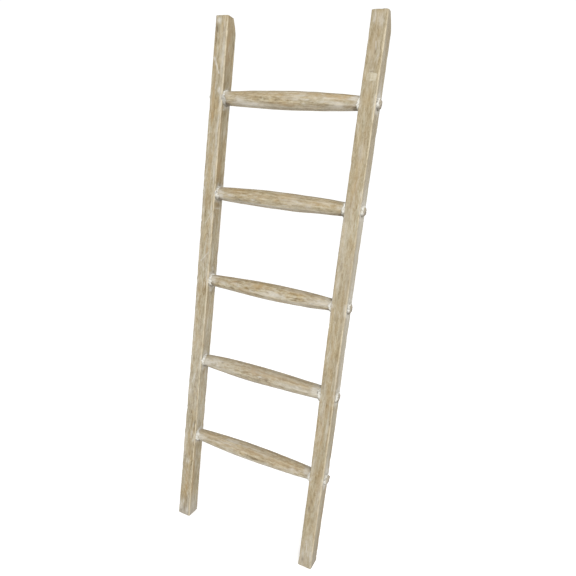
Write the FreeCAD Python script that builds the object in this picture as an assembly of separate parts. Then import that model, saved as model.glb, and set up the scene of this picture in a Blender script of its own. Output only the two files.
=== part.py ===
import FreeCAD, Part
import math
import os

# A wooden quilt ladder: two square stiles joined by five barrel-shaped rungs. Quilts and
# blankets hang folded over the rungs while the ladder leans against a wall.
#
# Frame, in millimetres: +Z runs up the stiles from the feet, X across the ladder and +Y
# towards the wall. The origin is on the ground, midway between the two feet.

# ---- driving dimensions ----
LADDER_HEIGHT = 1600.0      # length of a stile
LADDER_WIDTH = 500.0        # over the outer faces of the stiles
STILE_WIDTH = 44.0
STILE_DEPTH = 47.0
STILE_ARRIS_RADIUS = 4.0    # rounding of the long edges and of the top
STILE_FOOT_CHAMFER = 1.5
TOP_BACK_RADIUS = {"left": 24.0, "right": 38.0}     # the stile's top is cut round at the back

# Rungs, from the top: height of the axis, radius of the belly, place of the belly along the
# clear span, and radius of the left and right shoulders, against the stiles.
RUNGS = {
    "rung_1_top": (1379.5, 25.4, 0.53, 19.6, 18.2),
    "rung_2": (1104.0, 25.0, 0.48, 18.5, 18.5),
    "rung_3": (834.0, 24.6, 0.52, 16.8, 16.8),
    "rung_4": (567.5, 26.0, 0.45, 17.0, 19.8),
    "rung_5_bottom": (302.0, 25.0, 0.48, 17.4, 17.4),
}
BELLY_POWER = 0.85          # below 1: fills out quickly from the shoulder
PROFILE_STEPS = 16          # spans of the curve along the barrel

TENON_RADIUS = 12.5
TENON_PROUD = 8.5           # how far the through tenon stands out of the stile
TENON_ROUNDING = 3.5        # of the tenon's sawn end

BEAD_OUTER = 4.0            # filler around the tenon, on the outer face
BEAD_INNER = 3.5            # filler around the shoulder, on the inner face

BRAD_LENGTH = 34.0
BRAD_RADIUS = 1.3
BRAD_HEAD_RADIUS = 3.0
BRAD_HEAD_THICKNESS = 1.2

# Filled knot hole in the front of the right stile.
PLUG_WIDTH = 28.0
PLUG_HEIGHT = 19.0
PLUG_DEPTH = 6.0
PLUG_CORNER_RADIUS = 5.0
PLUG_ABOVE_TOP_RUNG = 60.5
PLUG_OFF_CENTRE = 2.0

TOLERANCE = 0.01            # for picking edges by where they are
CLEARANCE = 1.0             # how far a cutting tool runs past the stile

# ---- worked out from them ----
HALF_WIDTH = LADDER_WIDTH / 2
HALF_DEPTH = STILE_DEPTH / 2
HALF_SPAN = HALF_WIDTH - STILE_WIDTH         # centre to a stile's inner face
STILE_CENTRE = HALF_WIDTH - STILE_WIDTH / 2
TENON_END = HALF_WIDTH + TENON_PROUD
SIDES = {"left": -1, "right": 1}
X_AXIS = FreeCAD.Vector(1, 0, 0)
Y_AXIS = FreeCAD.Vector(0, 1, 0)
ORIGIN = FreeCAD.Vector(0, 0, 0)


def profile_point(x, radius):
    """A point of a turned profile: x along the rung, radius off its axis."""
    return FreeCAD.Vector(x, 0, radius)


def turned(edges, height):
    """The solid that a closed profile makes round the rung axis at a height."""
    face = Part.Face(Part.Wire(Part.sortEdges(edges)[0]))
    solid = face.revolve(ORIGIN, X_AXIS, 360)
    solid.translate(FreeCAD.Vector(0, 0, height))
    return solid


def line(a, b):
    return Part.LineSegment(a, b).toShape()


def round_corner(start, centre, radius, end):
    """A quarter circle from start to end, bulging away from centre."""
    middle = (start + end) * 0.5 - centre
    middle.normalize()
    return Part.Arc(start, centre + middle * radius, end).toShape()


def barrel_radius(share, belly_radius, belly_place, left_radius, right_radius):
    """Radius of the barrel at a share (0 to 1) of the clear span, from the left."""
    stretch = math.log(0.5) / math.log(belly_place)
    swell = max(math.sin(math.pi * share ** stretch), 0.0) ** BELLY_POWER
    slender = left_radius + (right_radius - left_radius) * share
    return slender + (belly_radius - slender) * swell


def barrel_curve(belly_radius, belly_place, left_radius, right_radius):
    """The barrel's outline between the two shoulders, as one spline."""
    points = []
    for step in range(PROFILE_STEPS + 1):
        # Cosine spacing puts more points near the shoulders, where the outline turns most.
        share = (1 - math.cos(math.pi * step / PROFILE_STEPS)) / 2
        x = -HALF_SPAN + 2 * HALF_SPAN * share
        radius = barrel_radius(share, belly_radius, belly_place, left_radius, right_radius)
        points.append(profile_point(x, radius))
    curve = Part.BSplineCurve()
    curve.interpolate(points)
    return curve.toShape()


def tenon_edges(side, shoulder_radius):
    """Outline of one through tenon, from the shoulder to the axis at its end."""
    shoulder = profile_point(side * HALF_SPAN, shoulder_radius)
    root = profile_point(side * HALF_SPAN, TENON_RADIUS)
    rounding_start = profile_point(side * (TENON_END - TENON_ROUNDING), TENON_RADIUS)
    rounding_centre = profile_point(side * (TENON_END - TENON_ROUNDING), TENON_RADIUS - TENON_ROUNDING)
    rounding_end = profile_point(side * TENON_END, TENON_RADIUS - TENON_ROUNDING)
    tip = profile_point(side * TENON_END, 0)
    return [
        line(shoulder, root),
        line(root, rounding_start),
        round_corner(rounding_start, rounding_centre, TENON_ROUNDING, rounding_end),
        line(rounding_end, tip),
    ]


def make_rung(height, belly_radius, belly_place, left_radius, right_radius):
    """One turned piece: the barrel and the through tenons at both ends."""
    axis = line(profile_point(-TENON_END, 0), profile_point(TENON_END, 0))
    barrel = barrel_curve(belly_radius, belly_place, left_radius, right_radius)
    tenons = tenon_edges(-1, left_radius) + tenon_edges(1, right_radius)
    return turned(tenons + [barrel, axis], height)


def make_stile(side, top_back_radius):
    """A stile with rounded arrises, before any hole is cut in it."""
    corner = FreeCAD.Vector(side * STILE_CENTRE - STILE_WIDTH / 2, -HALF_DEPTH, 0)
    stile = Part.makeBox(STILE_WIDTH, STILE_DEPTH, LADDER_HEIGHT, corner)
    at_top = [e for e in stile.Edges if e.BoundBox.ZMin > LADDER_HEIGHT - TOLERANCE]
    back_edge = [e for e in at_top if e.BoundBox.YMin > HALF_DEPTH - TOLERANCE]
    stile = stile.makeFillet(top_back_radius, back_edge)
    arrises = []
    for edge in stile.Edges:
        box = edge.BoundBox
        along_side = box.XLength < TOLERANCE and box.ZMax > TOLERANCE
        front_top = box.YMax < -HALF_DEPTH + TOLERANCE and box.ZMin > LADDER_HEIGHT - TOLERANCE
        if along_side or front_top:
            arrises.append(edge)
    stile = stile.makeFillet(STILE_ARRIS_RADIUS, arrises)
    foot_edges = [e for e in stile.Edges if e.BoundBox.ZMax < TOLERANCE]
    return stile.makeChamfer(STILE_FOOT_CHAMFER, foot_edges)


def mortise(side, height):
    """The round hole that a through tenon fills."""
    start = FreeCAD.Vector(side * STILE_CENTRE - STILE_WIDTH / 2 - CLEARANCE, 0, height)
    return Part.makeCylinder(TENON_RADIUS, STILE_WIDTH + 2 * CLEARANCE, start, X_AXIS)


def make_brad(side, height):
    """A brad driven from the back face through the tenon, its head flush."""
    back = FreeCAD.Vector(side * STILE_CENTRE, HALF_DEPTH, height)
    shank = Part.makeCylinder(BRAD_RADIUS, BRAD_LENGTH, back - Y_AXIS * BRAD_LENGTH, Y_AXIS)
    head = Part.makeCylinder(
        BRAD_HEAD_RADIUS, BRAD_HEAD_THICKNESS, back - Y_AXIS * BRAD_HEAD_THICKNESS, Y_AXIS
    )
    return shank.fuse(head).removeSplitter()


def bead_outline(side, face_x, radius, size, outwards):
    """Outline of a quarter-round bead of filler between a rung and a stile's face."""
    corner = profile_point(side * face_x, radius)
    on_rung = profile_point(side * (face_x + outwards * size), radius)
    on_stile = profile_point(side * face_x, radius + size)
    return [
        line(corner, on_rung),
        round_corner(on_rung, corner, size, on_stile),
        line(on_stile, corner),
    ]


def make_plug():
    """The filled knot hole: a shallow block with rounded corners, flush with the front."""
    centre_x = STILE_CENTRE + PLUG_OFF_CENTRE
    centre_z = RUNGS["rung_1_top"][0] + PLUG_ABOVE_TOP_RUNG
    corner = FreeCAD.Vector(centre_x - PLUG_WIDTH / 2, -HALF_DEPTH, centre_z - PLUG_HEIGHT / 2)
    plug = Part.makeBox(PLUG_WIDTH, PLUG_DEPTH, PLUG_HEIGHT, corner)
    deep_edges = [e for e in plug.Edges if e.BoundBox.YLength > PLUG_DEPTH - TOLERANCE
                  and e.BoundBox.XLength < TOLERANCE and e.BoundBox.ZLength < TOLERANCE]
    return plug.makeFillet(PLUG_CORNER_RADIUS, deep_edges)


def export(name, shape):
    shape.exportStep(os.path.join("parts", name + ".step"))
    print(name, len(shape.Solids), "solids", round(shape.Volume / 1000, 1), "cm3", shape.isValid())


os.makedirs("parts", exist_ok=True)

heights = [sizes[0] for sizes in RUNGS.values()]
brads = {side: [make_brad(sign, z) for z in heights] for side, sign in SIDES.items()}
all_brads = Part.makeCompound(brads["left"] + brads["right"])
rungs = {name: make_rung(*sizes) for name, sizes in RUNGS.items()}
plug = make_plug()

for side, sign in SIDES.items():
    stile = make_stile(sign, TOP_BACK_RADIUS[side])
    stile = stile.cut(Part.makeCompound([mortise(sign, z) for z in heights]))
    stile = stile.cut(Part.makeCompound(brads[side]))
    if side == "right":
        stile = stile.cut(plug)
    export("stile_" + side, stile)
    export("brads_" + side, Part.makeCompound(brads[side]))
    outer = [turned(bead_outline(sign, HALF_WIDTH, TENON_RADIUS, BEAD_OUTER, 1), z) for z in heights]
    export("filler_outer_" + side, Part.makeCompound(outer))
    inner = []
    for name, (height, _, _, left_radius, right_radius) in RUNGS.items():
        shoulder_radius = left_radius if side == "left" else right_radius
        ring = turned(bead_outline(sign, HALF_SPAN, shoulder_radius, BEAD_INNER, -1), height)
        inner.append(ring.cut(rungs[name]))
    export("filler_inner_" + side, Part.makeCompound(inner))

for name, rung in rungs.items():
    export(name, rung.cut(all_brads))

export("knot_plug", plug)
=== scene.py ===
import math

import bpy
import numpy as np
from mathutils import Matrix, Vector


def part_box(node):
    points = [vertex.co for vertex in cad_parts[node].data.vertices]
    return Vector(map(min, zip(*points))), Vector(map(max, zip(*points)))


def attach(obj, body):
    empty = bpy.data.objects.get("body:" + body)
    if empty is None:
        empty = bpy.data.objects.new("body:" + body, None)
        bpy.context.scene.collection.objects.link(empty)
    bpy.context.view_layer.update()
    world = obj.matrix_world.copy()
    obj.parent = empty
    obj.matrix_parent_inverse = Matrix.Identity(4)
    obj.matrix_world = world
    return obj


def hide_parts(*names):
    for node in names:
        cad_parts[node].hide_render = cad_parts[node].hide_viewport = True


# A bare, whitewashed wooden quilt ladder: two square stiles and five barrel-shaped rungs.
# Every length is in metres. +Z runs up the stiles, -Y is the front, and the floor is at 0.

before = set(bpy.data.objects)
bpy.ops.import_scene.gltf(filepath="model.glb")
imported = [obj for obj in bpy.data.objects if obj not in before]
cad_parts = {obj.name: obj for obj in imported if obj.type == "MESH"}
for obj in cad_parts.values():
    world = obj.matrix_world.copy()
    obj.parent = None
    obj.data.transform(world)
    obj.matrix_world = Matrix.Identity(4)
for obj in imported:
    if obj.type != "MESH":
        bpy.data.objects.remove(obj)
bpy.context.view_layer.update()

MM = 0.001
RUNG_NODES = ["rung_1_top", "rung_2", "rung_3", "rung_4", "rung_5_bottom"]
SIDES = {"left": -1, "right": 1}


def axis_height(node):
    low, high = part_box(node)
    return (low.z + high.z) / 2


# ---- sizes that come from the frame ----
STILE_LOW, STILE_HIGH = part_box("stile_right")
STILE_HEIGHT = STILE_HIGH.z
HALF_X = (STILE_HIGH.x - STILE_LOW.x) / 2
HALF_Y = (STILE_HIGH.y - STILE_LOW.y) / 2
HALF_WIDTH = STILE_HIGH.x
HALF_SPAN = STILE_LOW.x
STILE_CENTRE = HALF_SPAN + HALF_X
RUNG_HEIGHTS = [axis_height(node) for node in RUNG_NODES]

# ---- sizes of the handwork, which is finer than the frame ----
ARRIS_RADIUS = 2.3 * MM
SAW_PITCH = 10.4 * MM
FOOT_BEVEL = 1.5 * MM
TOP_BEVEL = 5.0 * MM
DENTS = 70                  # knocks along the arrises of one stile
STILE_SEED = {"left": 11, "right": 47}
# The top of each stile is cut round at the back: how deep, how far down, and how hollow a curve.
TOP_CUT = {"left": (19 * MM, 46 * MM, 1.7), "right": (34 * MM, 43 * MM, 1.4)}
# How worn each long edge of a stile is, by the signs of its place in x and y.
ARRIS_WEAR = {(1, -1): 1.0, (-1, -1): 0.35, (1, 1): 0.45, (-1, 1): 0.45}
# How far each face of a stile wanders outwards from true, in millimetres, by height.
WANDER_HEIGHTS = [0.0, 0.15, 0.3, 0.45, 0.7, 0.95, 1.2, 1.35, 1.5, 1.6]
WANDER = {
    "left": {
        "outer": [0.1, 0.0, -0.2, -1.4, -3.3, -2.4, -0.2, -0.3, -0.7, -1.0],
        "inner": [0.3, -1.1, -0.8, -1.6, 0.5, 0.6, -0.4, -1.2, -1.8, -1.4],
        "back": [-0.5, 0.0, 0.0, 1.0, -0.8, -0.8, -1.8, -0.3, 1.2, 1.5],
    },
    "right": {
        "outer": [-0.6, -0.9, 0.0, 0.9, -1.3, -0.8, -0.2, 0.6, 1.2, 1.3],
        "inner": [-0.2, -0.8, -0.5, -0.3, 1.8, 2.5, 0.8, 0.3, -0.8, -1.2],
        "back": [3.0, 3.0, 2.5, 2.0, 1.6, 0.6, 2.6, 3.0, 3.6, 4.0],
    },
}


# ---- repeatable noise ----

def lattice(ix, iy, iz, seed):
    """A repeatable number from 0 to 1 for each whole-number point."""
    h = (ix * 73856093) ^ (iy * 19349663) ^ (iz * 83492791) ^ (seed * 2654435761)
    h = ((h ^ (h >> 13)) * 1274126177) & 0x7FFFFFFF
    h = ((h ^ (h >> 15)) * 461845907) & 0x7FFFFFFF
    return ((h ^ (h >> 14)) & 0xFFFF) / 65535.0


def noise(points, size, seed):
    """Smooth noise from -1 to 1 at each point; size is its grain along x, y and z."""
    q = points / np.array(size)
    base = np.floor(q).astype(np.int64)
    t = q - base
    t = t * t * (3 - 2 * t)
    total = np.zeros(points.shape[:-1])
    for dx in (0, 1):
        for dy in (0, 1):
            for dz in (0, 1):
                weight = np.abs(1 - dx - t[..., 0]) * np.abs(1 - dy - t[..., 1]) * np.abs(1 - dz - t[..., 2])
                total += weight * lattice(base[..., 0] + dx, base[..., 1] + dy, base[..., 2] + dz, seed)
    return total * 2 - 1


def fine_noise(points, x, y, z, seed):
    """Noise whose grain along each axis is given in millimetres."""
    return noise(points, (x * MM, y * MM, z * MM), seed)


def step(low, high, value):
    """0 below low, 1 above high and smooth between them."""
    t = np.clip((value - low) / (high - low), 0, 1)
    return t * t * (3 - 2 * t)


def bump(distance, width):
    """1 at distance 0, falling smoothly to nearly 0 at twice the width."""
    return np.exp(-(distance / width) ** 2)


# ---- meshes ----

def wander(side, face, height):
    """How far a face of a stile lies outwards from true at a height."""
    fine = np.linspace(0, STILE_HEIGHT, 161)
    curve = np.interp(fine, WANDER_HEIGHTS, WANDER[side][face]) * MM
    window = np.hanning(15) / np.hanning(15).sum()
    curve = np.convolve(np.pad(curve, 7, mode="edge"), window, mode="valid")
    return np.interp(height, fine, curve)


def face_place(side, face, height):
    """How far a stile's outer or inner face lies from the middle of the ladder at a height."""
    if face == "outer":
        return HALF_WIDTH + wander(side, face, height)
    return HALF_SPAN - wander(side, face, height)


def loft(name, rings, ring_of_rings=False):
    """A closed mesh through rings of points: rows along the piece and columns round it."""
    rows, columns, _ = rings.shape
    points = rings.reshape(-1, 3)
    index = np.arange(rows * columns).reshape(rows, columns)
    onward = np.roll(index, -1, axis=0) if ring_of_rings else index[1:]
    here = index if ring_of_rings else index[:-1]
    beside, onward_beside = np.roll(here, -1, axis=1), np.roll(onward, -1, axis=1)
    faces = np.stack([here, beside, onward_beside, onward], axis=-1).reshape(-1, 4).tolist()
    if not ring_of_rings:
        middles = [points[index[0]].mean(0), points[index[-1]].mean(0)]
        points = np.concatenate([points, middles])
        first, last = len(points) - 2, len(points) - 1
        for j in range(columns):
            k = (j + 1) % columns
            faces.append([first, int(index[0][k]), int(index[0][j])])
            faces.append([last, int(index[-1][j]), int(index[-1][k])])
    mesh = bpy.data.meshes.new(name)
    mesh.from_pydata(points.tolist(), [], faces)
    mesh.polygons.foreach_set("use_smooth", [True] * len(mesh.polygons))
    mesh.update()
    obj = bpy.data.objects.new(name, mesh)
    bpy.context.scene.collection.objects.link(obj)
    return obj


def paint(obj, **layers):
    """Stores one number per point for the materials to read, such as how worn it is."""
    count = len(obj.data.vertices)
    for name, values in layers.items():
        flat = np.clip(values, 0, 1).reshape(-1)
        flat = np.concatenate([flat, np.full(count - len(flat), flat.mean())])
        layer = obj.data.attributes.new(name, "FLOAT", "POINT")
        layer.data.foreach_set("value", flat.astype(np.float32))


def place(obj, node, material):
    """Lets a piece stand for its CAD node, with its finish."""
    obj.data.materials.append(material)
    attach(obj, "root")
    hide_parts(node)
    return obj


# ---- the stiles ----

SIDE_COLUMNS = 22           # columns of points across one flat side of a stile
CORNER_COLUMNS = 9          # and round one arris
BODY_ROWS = 720
CORNER_SIGNS = [(1, -1), (1, 1), (-1, 1), (-1, -1)]


def end_path(bevel, steps, depth):
    """Rows that close one end: (height above the end face, inset from the side), centre first."""
    flat = [(0.0, depth * (1 - i / 7) + bevel * i / 7) for i in range(7)]
    # These rows fold back inside the wood, under the bevel that the body's last row makes.
    angles = np.linspace(0, math.pi / 2, steps + 1)
    return flat + [(bevel * math.cos(angle), bevel * math.sin(angle)) for angle in angles]


def stile_rows():
    """Heights and insets of every row of a stile, from the middle of the foot to the top's."""
    deepest = HALF_X - 1.5 * MM
    foot = end_path(FOOT_BEVEL, 3, deepest)
    top = [(STILE_HEIGHT - rise, inset) for rise, inset in reversed(end_path(TOP_BEVEL, 7, deepest))]
    low, high = foot[-1][0], top[0][0]
    body = [(low + (high - low) * i / BODY_ROWS, 0.0) for i in range(1, BODY_ROWS)]
    return np.array(foot + body + top)


def stile_section(heights, insets, radii):
    """Rounded rectangles of points, with the outward direction of each."""
    half_x, half_y = (HALF_X - insets)[:, None], (HALF_Y - insets)[:, None]
    points, outward = [], []
    for corner, (sx, sy) in enumerate(CORNER_SIGNS):
        radius = np.minimum(radii[:, corner], half_x[:, 0] * 0.95)[:, None]
        start = math.atan2(sy, sx) - math.pi / 4
        angle = start + np.linspace(0, math.pi / 2, CORNER_COLUMNS)[None, :]
        arc_x = sx * (half_x - radius) + radius * np.cos(angle)
        arc_y = sy * (half_y - radius) + radius * np.sin(angle)
        points.append(np.stack([arc_x, arc_y], -1))
        outward.append(np.stack(np.broadcast_arrays(np.cos(angle), np.sin(angle) + 0 * radius), -1))
    rings, normals = [], []
    for corner in range(4):
        following = (corner + 1) % 4
        share = (np.arange(1, SIDE_COLUMNS + 1) / (SIDE_COLUMNS + 1))[None, :, None]
        start, end = points[corner][:, -1:, :], points[following][:, :1, :]
        flat = start * (1 - share) + end * share
        facing = np.broadcast_to(outward[corner][:, -1:, :], flat.shape)
        rings += [points[corner], flat]
        normals += [outward[corner], facing]
    xy, facing = np.concatenate(rings, 1), np.concatenate(normals, 1)
    z = np.broadcast_to(heights[:, None, None], xy.shape[:2] + (1,))
    return np.concatenate([xy, z], -1), np.concatenate([facing, 0 * z], -1)


# Marks on each face of the stiles: (height, place across, half height, half width, strength).
# Lengths are in millimetres. The place across runs from -1 to 1, towards +X on the front and
# towards the back on a side.
FRONT, INNER, OUTER, BACK = "front", "inner", "outer", "back"
KNOTS = {
    "left": {
        FRONT: [(1566, -0.66, 9, 5, 1.2), (1556, -0.55, 5, 3, 0.8), (1587, -0.95, 10, 2, 0.7),
                (1087, 0, 7, 1.4, 0.7), (1145, 0.82, 16, 1.1, 0.6), (300, 0.45, 9, 2.2, 0.8),
                (250, 0.15, 26, 2.2, 0.5), (28, 0, 13, 3, 0.8), (55, 0.25, 13, 2, 0.8),
                (12, -0.55, 6, 4, 0.6)],
        INNER: [(1388, -0.7, 3, 2.2, 0.8), (846, -0.55, 3, 3, 0.9), (820, -0.75, 3, 3, 0.9),
                (1128, 0.1, 5, 9, 0.7), (1066, 0, 5, 10, 0.7), (860, 0.1, 4, 6, 0.8),
                (278, 0.3, 4.5, 10, 0.9), (544, 0.3, 4, 8, 0.8)],
    },
    "right": {
        FRONT: [(1453, 0, 1.3, 7, 0.9), (1460, 0.22, 6, 1.1, 0.6), (1499, 0.1, 5, 3, 0.6),
                (945, -0.35, 11, 3, 0.6), (926, -0.15, 7, 2.6, 0.5), (600, 0.95, 40, 1.4, 0.6),
                (228, -0.2, 8, 3.6, 0.8), (203, -0.45, 10, 3.6, 0.9), (24, -0.4, 9, 3, 0.9)],
        OUTER: [(1300, 0.1, 10, 3, 0.4), (160, 0.55, 100, 2.4, 0.6)],
    },
}
BROWNS = {
    "left": {
        FRONT: [(1385, -0.45, 60, 5.5, 0.75), (1320, -0.3, 22, 5, 0.8), (1190, -0.2, 60, 6, 0.45),
                (930, 0.35, 30, 5, 0.55), (690, -0.35, 110, 8, 0.2), (255, 0.1, 35, 8, 0.6),
                (130, 0.1, 55, 8, 0.75)],
        INNER: [(1520, -0.55, 60, 12, 0.8), (1180, -0.4, 45, 14, 0.7), (1300, -0.8, 80, 6, 0.6),
                (720, -0.7, 80, 7, 0.6), (170, -0.8, 130, 6, 0.7)],
    },
    "right": {
        FRONT: [(1510, -0.2, 40, 10, 0.55), (1400, -0.25, 28, 9, 0.6), (1300, 0.3, 50, 7, 0.45),
                (1150, -0.2, 50, 11, 0.6), (860, 0.2, 45, 6, 0.55), (720, -0.1, 110, 4, 0.7),
                (560, 0.25, 100, 6, 0.6), (440, -0.2, 90, 7, 0.5), (215, -0.35, 35, 6, 0.6),
                (320, 0.4, 60, 7, 0.45)],
        OUTER: [(1540, 0, 70, 16, 0.5), (1240, 0, 50, 16, 0.45), (150, 0.2, 110, 12, 0.45)],
    },
}
WASHES = {
    "left": {
        FRONT: [(1585, -0.45, 7, 8, 1.1), (1215, 0.88, 25, 2.4, 0.6), (720, 0.95, 50, 2, 0.5),
                (1500, 0.6, 90, 6, 0.55), (1397, 0.35, 6, 5, 0.85), (1372, 0.85, 20, 5, 0.75),
                (1260, 0.62, 110, 5, 0.4), (1398, 0.48, 8, 3, 0.9), (1060, -0.72, 260, 2.2, 0.45),
                (640, -0.74, 190, 2.2, 0.45), (450, -0.3, 60, 12, 0.4), (610, 0.1, 110, 14, 0.3),
                (846, 0.66, 8, 1.6, 0.8), (822, 0.4, 6, 1.4, 0.8), (585, 0.95, 12, 2, 0.9),
                (340, 0.45, 8, 3, 0.9), (50, -0.25, 10, 2.2, 0.9), (1160, 0.6, 30, 3, 0.75),
                (1000, 0.7, 110, 5.5, 0.45), (852, 0.9, 30, 4, 0.6), (820, 0.1, 12, 1.6, 0.7),
                (560, 0.85, 28, 5, 0.7), (505, -0.05, 16, 5, 0.6), (450, 0.55, 70, 4.5, 0.45),
                (310, 0.3, 13, 4.5, 0.85), (285, 0.7, 10, 4, 0.6), (270, -0.7, 80, 6.5, 0.6),
                (206, 0.05, 11, 6, 0.8), (30, -0.7, 22, 6, 0.7), (20, 0.4, 12, 6, 0.8)],
        INNER: [(1345, -0.5, 2, 6, 0.8), (1058, -0.1, 2.2, 16, 0.8), (1000, 0.6, 160, 8, 0.35),
                (873, -0.1, 4, 6, 0.7), (460, 0.6, 90, 8, 0.4), (640, -0.2, 220, 16, 0.28),
                (365, -0.2, 50, 16, 0.4), (40, -0.2, 40, 14, 0.35)],
    },
    "right": {
        FRONT: [(1580, -0.5, 15, 4, 0.8), (1572, 0.3, 17, 6, 0.6), (1250, 0.1, 26, 7, 0.45),
                (1148, 0.85, 9, 2.4, 0.95), (1010, -0.4, 80, 11, 0.3), (940, 0.65, 45, 6, 0.35),
                (345, -0.6, 45, 7, 0.45), (250, 0.6, 50, 7, 0.45), (40, -0.55, 45, 8, 0.4),
                (1070, -0.86, 30, 3, 0.6), (806, -0.86, 20, 3, 0.5), (905, -0.55, 26, 5.5, 0.6),
                (610, 0.86, 50, 1.4, 1), (545, -0.3, 50, 5, 0.4), (470, 0.55, 60, 3, 0.5),
                (70, 0.1, 40, 7, 0.35), (55, 0.75, 30, 5, 0.6)],
        OUTER: [(1395, 0, 40, 14, 0.55), (1090, 0, 100, 17, 0.75), (850, 0, 120, 17, 0.75),
                (620, 0.3, 80, 12, 0.6), (330, -0.2, 45, 14, 0.8)],
    },
}
WASHED = {"left": 0.38, "right": 0.28}      # how much wash is left in between
BROWNED = {"left": 0.9, "right": 0.5}       # how brown the brown marks are
GREY_FOOT = {"left": 0.9, "right": 0.4}
# Duller, darker wood: shade without warmth. On the left stile's inner face most of these are painted shadow
# just above and below the rungs.
DULL_WOOD_AND_JOINT_SHADE = {
    "left": {
        FRONT: [(1450, 0.1, 120, 12, 0.35), (1230, -0.1, 70, 10, 0.35), (320, 0.6, 13, 4, 1),
                (230, 0.7, 12, 3, 0.8), (845, 0.86, 4, 3, 1), (40, 0.6, 40, 7, 0.55)],
        INNER: [(1505, -0.6, 90, 10, 0.5), (1430, -0.2, 12, 15, 0.6), (1338, -0.2, 12, 15, 0.8),
                (1150, -0.1, 12, 15, 0.7), (1075, -0.2, 6, 15, 0.9), (880, -0.2, 8, 10, 0.7),
                (796, -0.1, 9, 15, 0.9), (610, 0, 8, 12, 0.6), (528, -0.1, 11, 15, 0.9),
                (255, 0, 13, 15, 0.9)],
    },
    "right": {
        FRONT: [(1545, -0.1, 55, 20, 0.55), (1470, 0.1, 12, 15, 0.7), (1425, 0, 9, 14, 0.5),
                (700, 0.7, 220, 6, 0.75), (880, 0.62, 60, 6, 0.45), (350, 0.3, 180, 8, 0.3)],
        OUTER: [(1560, 0.4, 60, 12, 0.5), (620, -0.62, 110, 8, 1.3), (980, -0.6, 90, 7, 0.45),
                (300, 0.55, 90, 9, 1), (40, 0.45, 90, 18, 1.3), (1350, 0.75, 18, 7, 0.9),
                (262, -0.2, 16, 4, 1)],
    },
}
# Slanting scratches on the front that kept their limewash: (height and place across at one end,
# the same at the other end, half width, strength).
SCRATCHES = {
    "left": [(1486, -0.74, 1444, 0.15, 2.3, 1.2), (1040, 0.55, 1010, -0.25, 1.3, 0.6),
             (1052, 0.1, 1024, 0.6, 1.3, 0.5), (921, 0.6, 893, -0.5, 1.5, 0.75),
             (900, -0.05, 840, 0.25, 1.2, 0.55), (520, 0.05, 488, -0.45, 1.7, 0.6),
             (190, -0.4, 160, 0.3, 1.2, 0.5), (168, -0.55, 136, 0.25, 1.2, 0.55),
             (142, -0.55, 110, 0.35, 1.2, 0.5), (112, -0.5, 82, 0.3, 1.2, 0.5)],
    "right": [(1524, 0.02, 1505, 0.14, 1.3, 0.8), (1492, 0.45, 1476, 0.15, 1.2, 0.5),
              (672, 0.76, 628, 0.88, 1.2, 0.8), (92, -0.3, 40, 0.3, 1.4, 0.6)],
}


def face_masks(local, side):
    """How much each point belongs to a face, and its place across that face from -1 to 1."""
    inwards = -SIDES[side]
    x, y = local[..., 0] / HALF_X, local[..., 1] / HALF_Y
    return {
        FRONT: (step(0.90, 0.99, -y), x),
        INNER: (step(0.90, 0.99, x * inwards), y),
        OUTER: (step(0.90, 0.99, -x * inwards), y),
        BACK: (step(0.90, 0.99, y), x),
    }


def marks(local, side, listed):
    """The strength at each point of the marks listed for a stile."""
    masks = face_masks(local, side)
    total = np.zeros(local.shape[:-1])
    for face, spots in listed[side].items():
        mask, place_across = masks[face]
        for height, across, half_height, half_width, strength in spots:
            off = (place_across - across) * HALF_X
            tall = bump(local[..., 2] - height * MM, half_height * MM)
            total += strength * mask * tall * bump(off, half_width * MM)
    return total


def scratches(local, side):
    """The strength at each point of the scratches on the front of a stile."""
    mask, _ = face_masks(local, side)[FRONT]
    at = np.stack([local[..., 0], local[..., 2]], -1)
    total = np.zeros(local.shape[:-1])
    for height, across, end_height, end_across, half_width, strength in SCRATCHES[side]:
        start = np.array([across * HALF_X, height * MM])
        way = np.array([end_across * HALF_X, end_height * MM]) - start
        share = np.clip(((at - start) @ way) / (way @ way), 0, 1)
        off = np.linalg.norm(at - start - share[..., None] * way, axis=-1)
        total = np.maximum(total, strength * mask * bump(off, half_width * MM))
    return total


def dents(local, seed):
    """Depth of small knocks scattered along the arrises."""
    random = np.random.default_rng(seed)
    depth = np.zeros(local.shape[:-1])
    for _ in range(DENTS):
        sx, sy = CORNER_SIGNS[random.integers(4)]
        height = random.uniform(0.01, STILE_HEIGHT - 0.01)
        length = random.uniform(3, 12) * MM
        reach = random.uniform(3, 6) * MM
        deep = random.uniform(0.3, 1.1) * MM
        off = np.hypot(local[..., 0] - sx * HALF_X, local[..., 1] - sy * HALF_Y)
        near = np.abs(local[..., 2] - height) < 3 * length
        depth += np.where(near, deep * bump(local[..., 2] - height, length) * bump(off, reach), 0)
    return depth


def joint_nearness(local, side, seed):
    """1 against a rung or tenon and 0 from about 30 mm off, with a ragged edge."""
    x, y = local[..., 0] * SIDES[side], local[..., 1]
    ragged = 1 + 0.40 * fine_noise(local, 9, 9, 9, seed)
    near = np.zeros(local.shape[:-1])
    for height in RUNG_HEIGHTS:
        reach = np.hypot(y, (local[..., 2] - height) * 0.85) * ragged
        near = np.maximum(near, 1 - step(18 * MM, 30 * MM, reach))
    return near * step(0.50, 0.95, np.abs(x) / HALF_X)


def arris_wear(local, seed):
    """How far the finish is worn to pale wood along the four arrises of a stile."""
    x, y = local[..., 0], local[..., 1]
    ragged = 0.9 * MM * fine_noise(local, 20, 20, 45, seed)
    wear = np.zeros(x.shape)
    for (sx, sy), strength in ARRIS_WEAR.items():
        off_side, off_face = HALF_X - sx * x, HALF_Y - sy * y
        off = np.maximum(off_side, off_face * 2.0) + ragged
        wear = np.maximum(wear, strength * (1 - step(2.2 * MM, 4.4 * MM, off)))
    return wear * (0.85 + 0.30 * fine_noise(local, 12, 12, 24, seed + 1))


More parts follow.
